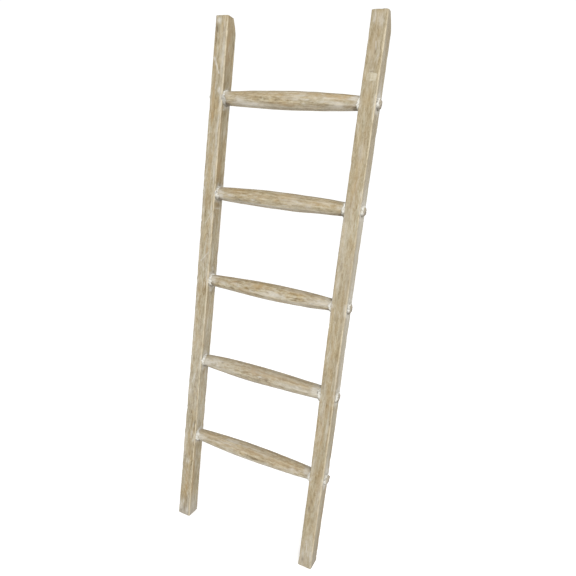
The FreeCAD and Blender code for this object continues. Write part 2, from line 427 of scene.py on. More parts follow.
def stile_relief(side, true, seed):
    """How far the sawn, brushed and dented surface stands out from true, and its knots."""
    place_at = true + np.array([SIDES[side] * STILE_CENTRE, 0, 0])
    swell = 0.32 * fine_noise(place_at, 50, 50, 140, seed + 2)
    planed = 0.16 * fine_noise(place_at, 9, 9, 34, seed + 3)
    grain = fine_noise(place_at, 2.6, 2.6, 70, seed + 4)
    pores = step(0.35, 0.75, fine_noise(place_at, 4, 4, 110, seed + 5))
    saw_lines = np.sin((place_at[..., 2] + place_at[..., 0] * 0.55) * 2 * math.pi / SAW_PITCH)
    sawn = step(0.0, 0.5, fine_noise(place_at, 60, 60, 160, seed + 6))
    if side == "left":
        sawn = np.maximum(sawn, 1 - step(0.20, 0.26, place_at[..., 2]))
    push = swell + planed - 0.17 * np.abs(grain) - 0.10 * pores + 0.10 * saw_lines * sawn
    knots = marks(true, side, KNOTS)
    back, _ = face_masks(true, side)[BACK]
    for height in RUNG_HEIGHTS:
        # a shallow pit for the head of each brad
        off = np.hypot(true[..., 0], true[..., 2] - height)
        push = push - 0.9 * back * (1 - step(3.2 * MM, 5.0 * MM, off))
    push = push * MM - dents(true, seed + 7) - 0.5 * MM * knots
    return push - 0.35 * MM * scratches(true, side), knots


def stile_shifts(side, local):
    """How far the stile's faces wander from true and its top is cut back, in x and y."""
    z = local[..., 2]
    share_in = np.clip((1 - SIDES[side] * local[..., 0] / HALF_X) / 2, 0, 1)
    share_back = np.clip((1 + local[..., 1] / HALF_Y) / 2, 0, 1)
    shift_x = wander(side, "outer", z) * (1 - share_in) - wander(side, "inner", z) * share_in
    cut_depth, cut_length, cut_power = TOP_CUT[side]
    cut = cut_depth * np.clip(1 - (STILE_HEIGHT - z) / cut_length, 0, 1) ** cut_power
    return shift_x, (wander(side, "back", z) - cut) * share_back


def stile_layers(side, true, rings, seed):
    """The finish of a stile: how washed, worn, shaded, warm and grey each point is."""
    z = rings[..., 2]
    masks = face_masks(true, side)
    patch = fine_noise(rings, 8, 8, 75, seed + 12)
    patch = patch + 0.7 * fine_noise(rings, 3, 3, 22, seed + 13)
    wash = WASHED[side] * step(0.25, 1.1, patch) + marks(true, side, WASHES) + scratches(true, side)
    wash = wash + 0.75 * joint_nearness(true, side, seed + 14)
    browns = marks(true, side, BROWNS)
    shade = 0.35 * browns + marks(true, side, DULL_WOOD_AND_JOINT_SHADE)
    if side == "left":
        # the inner face is darker, brown wood and painted shade together, most beside the front arris
        face, across = masks[INNER]
        strong = np.interp(z, [0.0, 0.08, 0.22, 0.30, 0.90, 1.02], [0.0, 0.8, 0.9, 0.0, 0.0, 0.9])
        shade = shade + face * strong * (0.45 - 0.40 * across)
    # painted shade: a dark line along the front arris on the -X side of each stile
    off_corner = np.maximum(HALF_X + true[..., 0], HALF_Y + true[..., 1])
    shade = shade + 0.9 * (1 - step(1.4 * MM, 4.0 * MM, off_corner))
    grey = 0.5 + 0.5 * fine_noise(rings, 30, 30, 150, seed + 15)
    grey = grey * 0.20 + 0.35 * masks[OUTER][0] + GREY_FOOT[side] * (1 - step(0.0, 0.09, z))
    tan = step(0.1, 0.9, fine_noise(rings, 25, 25, 90, seed + 16))
    warm = BROWNED[side] * browns + 0.25 * tan
    wear = arris_wear(true, seed + 10)
    if side == "right":
        # the arrises are hardly worn between the second rung and the third
        wear = wear * (1 - 0.65 * bump(z - 0.98, 0.13))
    return {"wear": wear, "wash": wash, "shade": shade, "warm": warm, "grey": grey}


def make_stile(side, material):
    """One stile: a rounded square bar with worn arrises, knocks, saw marks and brushed grain."""
    sign, seed = SIDES[side], STILE_SEED[side]
    rows = stile_rows()
    heights, insets = rows[:, 0], rows[:, 1]
    radii = np.zeros((len(rows), 4))
    for corner in range(4):
        along = np.stack([heights, heights * 0 + corner, heights * 0], -1)
        uneven = 0.9 * noise(along, (0.13, 1, 1), seed) + 0.6 * noise(along, (0.021, 1, 1), seed + 1)
        radii[:, corner] = ARRIS_RADIUS + uneven * MM
    worn_top = step(STILE_HEIGHT - 55 * MM, STILE_HEIGHT, heights)
    radii[:, 1] += 4.0 * MM * worn_top
    radii[:, 0] += (0.0 if side == "left" else 4.0) * MM * worn_top ** 2
    true, outward = stile_section(heights, insets, np.maximum(radii, 1.2 * MM))

    push, knots = stile_relief(side, true, seed)
    body = step(0.0, 3 * MM, heights)[:, None]
    inside = np.where(insets[:, None] > 0, 0.5, 1.0)
    local = true + outward * (push * body * inside)[..., None]
    rough_end = noise(local, (5 * MM, 5 * MM, 1), seed + 8) + noise(local, (14 * MM, 14 * MM, 1), seed + 9)
    at_top = step(0, 4 * MM, insets)[:, None] * (heights > STILE_HEIGHT / 2)[:, None]
    local[..., 2] -= at_top * (0.7 + 0.45 * rough_end) * MM
    shift_x, shift_y = stile_shifts(side, local)
    rings = local + np.stack([sign * (STILE_CENTRE + shift_x), shift_y, 0 * shift_x], -1)

    end_grain = (step(1 * MM, 4 * MM, insets)[:, None] > 0.5) * np.ones(shift_x.shape)
    obj = loft("stile_" + side + "_wood", rings)
    paint(obj, dark=knots, end_grain=end_grain, **stile_layers(side, true, rings, seed))
    return place(obj, "stile_" + side, material)


# ---- the rungs ----

RUNG_ROWS = 330             # rows of points between the shoulders
RUNG_COLUMNS = 112
TENON_RADIUS = 12.5 * MM
TENON_ROUNDING = 4.0 * MM
SHAVED_SIDES = 11           # flats that the drawknife left along a rung
SHOULDER_SUNK = 3 * MM      # the barrel is let into a stile this far, where its face falls back
# How far the left and right tenon of each rung stand out of the stiles, in millimetres.
TENON_PROUD = {1: (6.8, 8.5), 2: (8.0, 8.0), 3: (8.0, 8.0), 4: (8.0, 8.0), 5: (6.8, 10.5)}
# How much painted shade each rung gets on its underside and along its top.
UNDERSIDE_PAINTED_SHADE = {1: 0.60, 2: 0.60, 3: 0.85, 4: 0.90, 5: 0.80}
TOPSIDE_PAINTED_SHADE = {1: 0.60, 2: 0.45, 3: 0.45, 4: 0.10, 5: 0.05}
# How much more wash and grey lie all over a rung, and how warm its upper half is.
PALER = {1: 0.03, 2: 0.0, 3: 0.0, 4: 0.10, 5: 0.10}
GREYER = {1: 0.0, 2: 0.0, 3: 0.0, 4: 0.22, 5: 0.0}
WARMER = {1: 0.30, 2: 0.30, 3: 0.30, 4: 0.30, 5: 0.40}

# Marks on the rungs: (place along, degrees up from the front, half length, half width,
# strength), with lengths in millimetres.
RUNG_WASHES = {
    "rung_1_top": [(-110, -46, 55, 7, 0.9), (-150, -10, 16, 8, 0.6), (148, -23, 20, 6, 1),
        (60, 0, 6, 2.2, 0.9), (84, 14, 5, 2.2, 0.8), (40, 22, 16, 4, 0.4), (51, -22, 4, 2, 0.9),
        (103, -8, 9, 2.4, 0.7), (118, 12, 12, 2, 0.6), (186, -22, 10, 3, 0.6)],
    "rung_2": [(-187, -4, 10, 8.5, 0.8), (-156, -2, 11, 4.5, 1), (-74, -15, 6, 3, 1),
        (52, -3, 28, 5, 0.6), (100, -10, 9, 8, 0.8), (140, 30, 20, 4, 0.5), (-20, -45, 100, 4, 0.6),
        (24, 12, 14, 2, 0.6), (74, 6, 12, 2.6, 0.7), (30, -25, 14, 2, 0.6), (118, 8, 7, 2.4, 0.6)],
    "rung_3": [(28, -3, 33, 8, 0.95), (168, 8, 33, 10, 0.95), (-188, 8, 12, 8.5, 0.9),
        (-96, 2, 10, 2, 0.9), (-128, -6, 8, 2, 0.8), (14, 14, 12, 2.6, 0.8), (130, -12, 20, 2.2, 0.7),
        (-66, 22, 10, 1.6, 0.8), (-52, -10, 12, 1.6, 0.6), (-155, 10, 14, 5, 0.7), (-104, 20, 18, 4, 0.7),
        (-60, 40, 10, 3.5, 0.6), (100, -38, 50, 5, 0.6)],
    "rung_4": [(-157, 32, 33, 9, 0.75), (-146, 1, 6, 3, 1), (-188, 2, 13, 10, 0.9),
        (-110, -12, 45, 6, 0.5), (120, 2, 50, 8, 0.7), (186, 18, 11, 11, 1), (132, 2, 6, 3.5, 0.9),
        (-150, -20, 14, 2.2, 0.7), (-168, 14, 12, 2.4, 0.8), (160, -8, 12, 3, 0.7),
        (142, 24, 6, 1.6, 0.7), (8, 8, 6, 3, 0.8)],
    "rung_5_bottom": [(-183, 10, 16, 9, 0.95), (-120, 18, 16, 4, 0.5), (148, 12, 11, 5, 0.95),
        (190, 38, 8, 10, 0.9), (164, 4, 6, 2.2, 0.9), (172, 22, 5, 1.8, 0.8), (-90, 34, 24, 2.2, 0.6),
        (44, 44, 20, 2, 0.5), (-20, -38, 150, 6, 0.7), (-30, 60, 90, 3, 0.5)],
}
RUNG_WARMS = {
    "rung_1_top": [(144, 26, 40, 7, 0.95), (0, -30, 30, 8, 0.6), (-60, 30, 70, 7, 0.45),
        (60, 40, 50, 6, 0.5)],
    "rung_2": [(34, 40, 26, 7, 0.6), (130, 10, 40, 6, 0.5), (-140, 40, 40, 7, 0.45), (0, 5, 50, 6, 0.35)],
    "rung_3": [(-24, 44, 26, 7, 0.9), (-80, -18, 23, 6, 0.7), (110, 45, 30, 6, 0.55),
        (-120, 35, 15, 5, 0.5)],
    "rung_4": [(-22, 48, 6, 8, 1), (-14, 26, 5, 6, 0.9), (30, 35, 90, 9, 0.45), (150, 35, 25, 6, 0.6)],
    "rung_5_bottom": [(-146, 52, 40, 7, 0.65), (40, 32, 90, 11, 0.4), (140, 40, 50, 7, 0.35),
        (-60, 22, 40, 6, 0.3)],
}
RUNG_SHADES = {
    "rung_1_top": [(66, -46, 20, 5, 0.9), (180, -52, 20, 6, 0.6), (155, -38, 22, 1.8, 1),
        (14, -50, 13, 4, 0.8), (108, -24, 20, 1.4, 0.8), (106, -40, 12, 2, 0.8), (-90, 4, 40, 1.2, 0.5)],
    "rung_2": [(-130, -25, 35, 7, 0.5), (-195, 55, 8, 8, 0.9), (-40, 18, 24, 1.4, 0.8),
        (64, 24, 20, 1.2, 0.6), (-10, -14, 16, 1.8, 0.7), (90, -22, 16, 1.8, 0.7), (-168, 34, 10, 2, 0.8)],
    "rung_3": [(-156, 45, 6, 7, 0.8), (-82, -20, 23, 6, 0.8), (-106, 42, 12, 2.2, 0.95),
        (-60, 34, 12, 1.8, 0.95), (-126, 20, 7, 2.6, 0.8), (-110, -2, 16, 1.4, 0.8),
        (142, 64, 20, 4, 0.8), (70, 22, 14, 1.8, 0.7), (100, -14, 12, 3, 0.8), (150, 20, 18, 1.8, 0.6),
        (-26, -32, 14, 6, 0.9), (168, -22, 13, 6, 0.7), (92, -6, 13, 4, 0.6)],
    "rung_4": [(-20, -8, 30, 4, 0.5), (34, -2, 14, 6, 0.9), (-110, 30, 20, 1.4, 0.9),
        (-172, 4, 9, 2, 0.9), (-150, -12, 12, 1.8, 0.9), (112, 12, 16, 1.4, 0.7), (148, 14, 9, 1.8, 0.8),
        (182, 4, 8, 2.4, 0.8), (10, -4, 5, 6, 0.9)],
    "rung_5_bottom": [(30, -6, 38, 5, 0.95), (-120, -6, 35, 4, 0.6), (-100, 14, 20, 1.4, 0.7),
        (110, 22, 16, 1.4, 0.7), (-10, 30, 12, 1.6, 0.6), (150, 0, 12, 1.6, 0.8), (196, 6, 7, 5, 0.9)],
}
RUNG_KNOTS = {
    "rung_1_top": [(58, 40, 4, 2, 0.5), (196, -58, 5, 6, 0.9)],
    "rung_2": [(196, -40, 5, 4, 0.5), (-196, -48, 6, 5, 0.7)],
    "rung_3": [(-194, -25, 7, 4, 0.8), (196, 62, 5, 5, 0.8), (4, 2, 4, 2, 0.6)],
    "rung_4": [(-130, 35, 5, 1.6, 0.9), (-136, -4, 5, 1.6, 0.8), (-156, 8, 2, 2.4, 0.7),
        (9, 0, 3, 3, 0.8), (30, -2, 7, 2.6, 0.8)],
    "rung_5_bottom": [(28, -6, 16, 2, 0.8), (194, 2, 5, 3, 0.8)],
}


def barrel_profile(node):
    """Places along a rung and its radius there, measured from the CAD node."""
    height = axis_height(node)
    points = np.array([vertex.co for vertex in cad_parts[node].data.vertices])
    radius = np.hypot(points[:, 1], points[:, 2] - height)
    keep = (np.abs(points[:, 0]) < HALF_SPAN + 0.1 * MM) & (radius > TENON_RADIUS + 2 * MM)
    order = np.argsort(points[keep, 0])
    return points[keep, 0][order], radius[keep][order]


def tenon_path(face, proud):
    """Rows of one tenon from the middle of its sawn end to the shoulder: (place, radius)."""
    end = face + proud
    side = end - TENON_ROUNDING
    core = TENON_RADIUS - TENON_ROUNDING
    rows = [(end, core * i / 6) for i in range(6)]
    for angle in np.linspace(0, math.pi / 2, 6):
        rows.append((side + TENON_ROUNDING * math.cos(angle), core + TENON_ROUNDING * math.sin(angle)))
    rows += [(side + (face - side) * i / 6, TENON_RADIUS) for i in range(1, 7)]
    return rows + [(face - 2 * MM, TENON_RADIUS), (HALF_SPAN + SHOULDER_SUNK, TENON_RADIUS)]


def rung_marks(place_along, turn, radius, listed):
    """The strength at each point of the marks listed for a rung."""
    total = np.zeros(radius.shape)
    for x, degrees, half_length, half_width, strength in listed:
        off = (turn - math.radians(degrees) + math.pi) % (2 * math.pi) - math.pi
        long = bump(place_along - x * MM, half_length * MM)
        total += strength * long * bump(off * radius, half_width * MM)
    return total


def rung_rows(node, number):
    """Every row of a rung: its place and radius, and whether it is on the barrel, outside the
    stile, or on a sawn end."""
    height = RUNG_HEIGHTS[number - 1]
    place_x, measured = barrel_profile(node)
    left_face, right_face = face_place("left", "outer", height), face_place("right", "outer", height)
    left_proud, right_proud = (proud * MM for proud in TENON_PROUD[number])
    left_end, right_end = tenon_path(left_face, left_proud), tenon_path(right_face, right_proud)
    span = HALF_SPAN + SHOULDER_SUNK
    barrel = [(-span + 2 * span * i / RUNG_ROWS, None) for i in range(RUNG_ROWS + 1)]
    rows = [(-x, r) for x, r in left_end] + barrel + list(reversed(right_end))
    along = np.array([x for x, _ in rows])
    radius = np.array([np.interp(x, place_x, measured) if r is None else r for x, r in rows])
    on_barrel = np.array([r is None for _, r in rows])
    face_at = np.where(along < 0, left_face, right_face)
    proud = np.where(along < 0, left_proud, right_proud)
    past_face = np.abs(along) > face_at - 1 * MM
    sawn = np.abs(along) > face_at + proud - 1.5 * MM
    return [values[:, None] for values in (along, radius, on_barrel, past_face, sawn)]


def make_rung(node, number, material):
    """One rung: a shaved barrel with brushed grain and a rough through tenon at each end."""
    seed = 100 + 20 * number
    height = RUNG_HEIGHTS[number - 1]
    along, radius, on_barrel, past_face, sawn = rung_rows(node, number)
    off_centre = np.abs(along)
    turn = (np.arange(RUNG_COLUMNS) / RUNG_COLUMNS * 2 * math.pi)[None, :]
    upward = np.sin(turn)
    size = radius * np.ones_like(turn)
    base_at = np.stack([along + 0 * size, -size * np.cos(turn), height + size * upward], -1)

    def marked(listed):
        return rung_marks(along, turn, size, listed[node])

    # the barrel, with the drawknife's flats, slow lumps, fibres and cracks
    facet = (turn + 0.3 * number + 0.5 * along) * SHAVED_SIDES / (2 * math.pi)
    off_middle = (facet - np.floor(facet) - 0.5) * 2 * math.pi / SHAVED_SIDES
    flattened = np.cos(math.pi / SHAVED_SIDES * 0.55) / np.cos(off_middle)
    lumps = 0.75 * fine_noise(base_at, 62, 30, 30, seed)
    shaved = 0.35 * fine_noise(base_at, 26, 9, 9, seed + 1)
    fibre = -0.20 * np.abs(fine_noise(base_at, 52, 2.6, 2.6, seed + 2))
    cracks = -0.30 * step(0.40, 0.8, fine_noise(base_at, 80, 3.6, 3.6, seed + 3))
    knots = marked(RUNG_KNOTS)
    push = (lumps + shaved + fibre + cracks) * MM - 0.9 * MM * knots
    push = push + size * (flattened - 1) * 0.6
    ends = step(HALF_SPAN - 2 * MM, HALF_SPAN - 22 * MM, off_centre)
    shaped = size + on_barrel * push * (0.25 + 0.75 * ends)

    # the tenons, rough from the saw
    rough = 1.1 * fine_noise(base_at, 6, 6, 6, seed + 4)
    rough = rough + 0.6 * fine_noise(base_at, 2.6, 2.6, 2.6, seed + 5)
    shaped = np.where(past_face, shaped * (1 + rough * 0.055), shaped)
    x = along + np.where(past_face, np.sign(along) * (rough * 0.75 - 0.7) * MM, 0)
    if number == 5:
        # a splinter was left standing when the last tenon was sawn off
        splinter = bump(turn - math.radians(115), 0.6) * step(0.3, 0.8, size / TENON_RADIUS)
        x = x + np.where(along > HALF_WIDTH + 5 * MM, 2.6 * MM * splinter, 0)
    rings = np.stack([x, -shaped * np.cos(turn), height + shaped * upward], -1)

    # the finish
    patch = fine_noise(base_at, 70, 12, 12, seed + 6)
    patch = patch + 0.6 * fine_noise(base_at, 26, 5, 5, seed + 7)
    near_end = step(HALF_SPAN - 26 * MM, HALF_SPAN - 4 * MM, off_centre + 0.014 * patch)
    shadow_by_stile = step(HALF_SPAN - 26 * MM, HALF_SPAN - 12 * MM, off_centre + 0.004 * patch)
    wash = 0.42 * step(0.30, 1.0, patch) + marked(RUNG_WASHES)
    wash = wash + 0.50 * near_end + PALER[number]
    # painted shade on each rung's underside and along its top
    shade = marked(RUNG_SHADES) + UNDERSIDE_PAINTED_SHADE[number] * step(0.15, 0.90, 0.15 * patch - upward)
    shade = shade + TOPSIDE_PAINTED_SHADE[number] * step(0.66, 0.96, upward + 0.10 * patch)
    # painted shadow where the rung meets a stile: under the rung at both ends, and on its top at the right
    # end
    shade = shade + 1.3 * shadow_by_stile * step(0.25, 0.80, -upward)
    shade = shade + 1.2 * shadow_by_stile * (along > 0) * step(0.55, 0.90, upward)
    warm = WARMER[number] * step(-0.3, 0.4, upward + 0.4 * patch) + marked(RUNG_WARMS)
    ridge = np.abs(off_middle) * SHAVED_SIDES / math.pi
    ridge = ridge + 0.25 * fine_noise(base_at, 20, 4, 4, seed + 8)
    wear = on_barrel * 0.55 * step(0.72, 1.0, ridge)
    grey = 0.10 + 0.20 * fine_noise(base_at, 60, 16, 16, seed + 9) + 0.25 * near_end
    # the underside is painted greyer as well as darker, as painted shade
    grey = grey + 0.55 * step(0.30, 0.85, -upward) + GREYER[number]
    # the tenon ends get painted shade at the back and below, and are darker in the hollows of the saw cut
    turned_away = (0.75 * rings[..., 1] - 0.65 * (rings[..., 2] - height)) / TENON_RADIUS
    end_shade_and_hollows = 0.4 * step(0.25, 0.9, -rough) + 1.3 * step(-0.15, 0.50, turned_away)
    dark = knots + past_face * end_shade_and_hollows
    # and a darker painted shadow under the rung beside each stile
    dark = dark + 1.4 * shadow_by_stile * step(0.50, 0.90, -upward) * (1 - past_face)
    obj = loft(node + "_wood", rings)
    paint(obj, wear=wear, wash=wash, dark=dark, shade=shade, warm=warm, grey=grey,
          end_grain=sawn * np.ones_like(size))
    return place(obj, node, material)


# ---- filler, plug and brads ----

COLLAR_ROWS = 84
COLLAR_STEPS = 10
PLUG_COLUMNS = 96
PLUG_PROUD = 0.2 * MM
PLUG_SQUARENESS = 7.0


def make_collar(node, number, side, outer, material):
    """A smear of filler round a rung: inside at its shoulder, or outside at its tenon."""
    sign, where = SIDES[side], "outer" if outer else "inner"
    stained = number == 1 and side == "left" and not outer
    seed = 300 + 40 * number + (10 if side == "right" else 0) + (5 if outer else 0)
    height = RUNG_HEIGHTS[number - 1]
    face = face_place(side, where, height)
    outwards = 1 if outer else -1
    shoulder = barrel_profile(node)[1][0 if side == "left" else -1]
    core = TENON_RADIUS if outer else shoulder
    turn = np.arange(COLLAR_ROWS) / COLLAR_ROWS * 2 * math.pi
    forward, upward = np.cos(turn)[:, None], np.sin(turn)[:, None]

    # how far it reaches over the stile's face, and how thick it is along the rung
    circle = np.concatenate([0 * forward, forward, upward], -1)
    ragged = noise(circle, (1, 0.55, 0.55), seed) + 0.6 * noise(circle, (1, 0.2, 0.2), seed + 1)
    reach = 4.2 + 2.2 * ragged + 1.4 * np.cos(turn + 0.6)
    reach = np.maximum(reach, 1.4) * MM
    ragged = noise(circle, (1, 0.5, 0.5), seed + 2) + 0.6 * noise(circle, (1, 0.17, 0.17), seed + 3)
    if outer:
        thick = 4.8 + 2.0 * ragged + 1.8 * np.cos(turn - 0.3)
    else:
        thick = 6.6 + 4.2 * ragged + 2.4 * np.cos(turn + 0.5)
        if side == "left" and number > 2:
            thick = thick + 2.2 * np.cos(turn - 0.2)
    thick = np.maximum(thick, 1.2) * MM

    # a quarter-round section, closed by three points buried in the wood
    quarter = np.linspace(0, math.pi / 2, COLLAR_STEPS)
    bulge = 0.82 + 0.18 * np.sin(2 * quarter)
    off_face = thick[:, None] * (np.cos(quarter) * bulge)[None, :]
    off_core = reach[:, None] * (np.sin(quarter) * bulge)[None, :]
    buried_face = np.full((COLLAR_ROWS, 2), -1.2 * MM)
    buried_core = np.stack([reach * 0.98, reach * 0 - 2 * MM], -1)
    on_rung = thick[:, None] * 0.95
    off_face = np.concatenate([off_face, buried_face, on_rung], 1)
    radius = core + np.concatenate([off_core, buried_core, on_rung * 0 - 2 * MM], 1)
    rings = np.stack([sign * (face + outwards * off_face), -radius * forward, height + radius * upward], -1)

    lumps = 0.5 * fine_noise(rings, 4, 4, 4, seed + 4)
    lumps = lumps + 0.3 * fine_noise(rings, 1.8, 1.8, 1.8, seed + 5)
    level = 0 * radius
    away = np.stack([level + sign * outwards, level - forward, level + upward], -1) * 0.7
    pits = step(0.32, 0.62, fine_noise(rings, 4.2, 4.2, 4.2, seed + 6))
    if stained:
        pit_at = np.array([sign * face + 1.5 * MM, -0.86 * core, height + 0.52 * core])
        pits = np.maximum(pits, bump(np.linalg.norm(rings - pit_at, axis=-1), 2.4 * MM) * 1.3)
    rings = rings + away * ((lumps - 1.1 * pits) * MM)[..., None]
    # painted shade under the rung; the filler is also darker behind the rung and in its pits
    below = step(0.40, 0.85, 0.20 * ragged - np.sin(turn))[:, None]
    behind = step(0.2, 0.8, -forward)
    pits = np.maximum(0.75 * pits, np.maximum(0.95 * below, 0.5 * behind))
    if stained:
        # little filler shows here: most of it is stained like the wood
        pits = np.maximum(pits, 0.55 * step(0.75, 0.2, np.sin(turn + 0.3))[:, None])
    obj = loft("collar_{}_{}_{}".format(where, side, number), rings, ring_of_rings=True)
    if sign * outwards > 0:
        obj.data.flip_normals()
    paint(obj, dark=pits)
    return place(obj, "filler_{}_{}".format(where, side), material)


def make_knot_plug(material):
    """The filled knot hole: a shallow block with rounded corners, a little proud and uneven."""
    low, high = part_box("knot_plug")
    middle, half = (low + high) / 2, (high - low) / 2
    turn = np.arange(PLUG_COLUMNS) / PLUG_COLUMNS * 2 * math.pi
    power = PLUG_SQUARENESS
    away = (np.abs(np.cos(turn)) ** power + np.abs(np.sin(turn)) ** power) ** (-1 / power)
    shares = [1.0, 1.0, 0.985, 0.95, 0.9, 0.82, 0.72, 0.6, 0.45, 0.3, 0.15, 0.02]
    depths = [4.0 * MM, 0.4 * MM, 0.1 * MM] + [-PLUG_PROUD] * 9
    edge = 1 + 0.07 * noise(np.stack([np.cos(turn), np.sin(turn), turn * 0], -1), (0.5, 0.5, 1), 901)
    rings = np.stack([
        middle.x + half.x * np.outer(shares, away * np.cos(turn) * edge),
        low.y + np.array(depths)[:, None] + 0 * np.outer(shares, turn),
        middle.z + half.z * np.outer(shares, away * np.sin(turn) * edge),
    ], -1)
    dimple = 0.30 * noise(rings, (5 * MM, 1, 5 * MM), 902) + 0.2 * noise(rings, (2 * MM, 1, 2 * MM), 903)
    rings[2:, :, 1] += dimple[2:] * MM
    obj = loft("knot_plug_filler", rings)
    obj.data.flip_normals()
    rim = np.array([1.0 if share > 0.94 else 0.0 for share in shares])[:, None]
    upper = step(0.5, 0.9, np.sin(turn))[None, :]
    stained = 0.32 * step(0.15, -0.6, (rings[..., 0] - middle.x) / half.x)
    paint(obj, dark=np.maximum(rim * upper, stained) + 0.3 * step(0.35, 0.9, dimple * 2))
    return place(obj, "knot_plug", material)


def make_brad(side, number, material):
    """One brad: a domed head in a shallow pit in the back face, and its shank."""
    x, z = SIDES[side] * STILE_CENTRE, RUNG_HEIGHTS[number - 1]
    y = HALF_Y + wander(side, "back", z) - 0.3 * MM
    outline = [(0.35, 0.2), (0.33, 1.0), (0.25, 1.8), (0.05, 2.5), (-0.25, 2.9), (-1.0, 2.9),
               (-1.2, 1.3), (-20.0, 1.3), (-32.5, 1.2), (-34.0, 0.2)]
    turn = np.arange(28) / 28 * 2 * math.pi
    across, deep = np.array(outline)[:, 1] * MM, np.array(outline)[:, 0] * MM
    rings = np.stack([
        x + np.outer(across, np.cos(turn)),
        y + deep[:, None] + 0 * np.outer(across, turn),
        z + np.outer(across, np.sin(turn)),
    ], -1)
    obj = loft("brad_{}_{}".format(side, number), rings)
    return place(obj, "brads_" + side, material)


# ---- finishes ----

LIGHT_LEVEL = 1.57           # how bright a white card facing the camera is in this studio


def tint(red, green, blue):
    """A paint colour as it looks in the studio's light (0 to 255), as a surface colour."""
    linear = [((c / 255 + 0.055) / 1.055) ** 2.4 / LIGHT_LEVEL for c in (red, green, blue)]
    return (*linear, 1.0)


def add(tree, kind, inputs, **settings):
    """Adds a shader node; inputs are constants or the outputs of other nodes."""
    new = tree.nodes.new(kind)
    for name, value in settings.items():
        setattr(new, name, value)
    for key, value in inputs.items():
        if isinstance(value, bpy.types.NodeSocket):
            tree.links.new(value, new.inputs[key])
        else:
            new.inputs[key].default_value = value
    return new


def layer(tree, name):
    return add(tree, "ShaderNodeAttribute", {}, attribute_name=name).outputs["Fac"]


def calculate(tree, operation, a, b=0.0, clamp=False):
    return add(tree, "ShaderNodeMath", {0: a, 1: b}, operation=operation, use_clamp=clamp).outputs[0]


def multiply(tree, a, b):
    return calculate(tree, "MULTIPLY", a, b)


def remap(tree, value, low, high, to_low=0.0, to_high=1.0):
    inputs = {"Value": value, "From Min": low, "From Max": high, "To Min": to_low, "To Max": to_high}
    return add(tree, "ShaderNodeMapRange", inputs, interpolation_type="SMOOTHSTEP").outputs[0]


def blend(tree, share, a, b, kind="MIX"):
    inputs = {0: share, 6: a, 7: b}
    return add(tree, "ShaderNodeMix", inputs, data_type="RGBA", blend_type=kind).outputs[2]


def texture(tree, stretch, scale, detail=3.0, roughness=0.55, distortion=0.0, shift=0.0):
    """Noise from about 0 to 1; stretch is how much each axis is drawn out."""
    place_at = add(tree, "ShaderNodeTexCoord", {}).outputs["Object"]
    moved = add(tree, "ShaderNodeMapping", {
        "Vector": place_at,
        "Location": (shift, shift * 1.7, shift * 0.6),
        "Scale": tuple(1 / s for s in stretch),
    }).outputs[0]
    inputs = {"Vector": moved, "Scale": scale, "Detail": detail, "Roughness": roughness,
              "Distortion": distortion}
    return add(tree, "ShaderNodeTexNoise", inputs).outputs["Fac"]


def painted(tree, name, over, low, high, least, most):
    """One of the numbers stored on the mesh, broken up by a noise."""
    return multiply(tree, layer(tree, name), remap(tree, over, low, high, least, most))


def ramp(tree, value, stops):
    """A colour for each value; stops are pairs of a place from 0 to 1 and a colour."""
    node = add(tree, "ShaderNodeValToRGB", {"Fac": value})
    elements = node.color_ramp.elements
    while len(elements) < len(stops):
        elements.new(0.5)
    for element, (place_at, colour) in zip(elements, stops):
        element.position = place_at
        element.color = colour
    return node.outputs[0]


def mixture(tree, parts):
    """0.5 plus each noise's swing from 0.5 times its weight."""
    total = 0.5 - sum(weight for _, weight in parts) / 2
    for value, weight in parts:
        total = calculate(tree, "ADD", multiply(tree, value, weight), total)
    return total


def new_material(name):
    """A material with an empty node tree."""
    material = bpy.data.materials.new(name)
    material.use_nodes = True
    material.node_tree.nodes.clear()
    return material, material.node_tree


def matt_surface(tree, colour, roughness, specular, height, strength, depth):
    """Ends a node tree in a matt surface with a little relief."""
    relief = add(tree, "ShaderNodeBump", {"Strength": strength, "Distance": depth, "Height": height})
    shader = add(tree, "ShaderNodeBsdfPrincipled", {
        "Base Color": colour,
        "Roughness": roughness,
        "Specular IOR Level": specular,
        "Normal": relief.outputs[0],
    })
    add(tree, "ShaderNodeOutputMaterial", {"Surface": shader.outputs[0]})


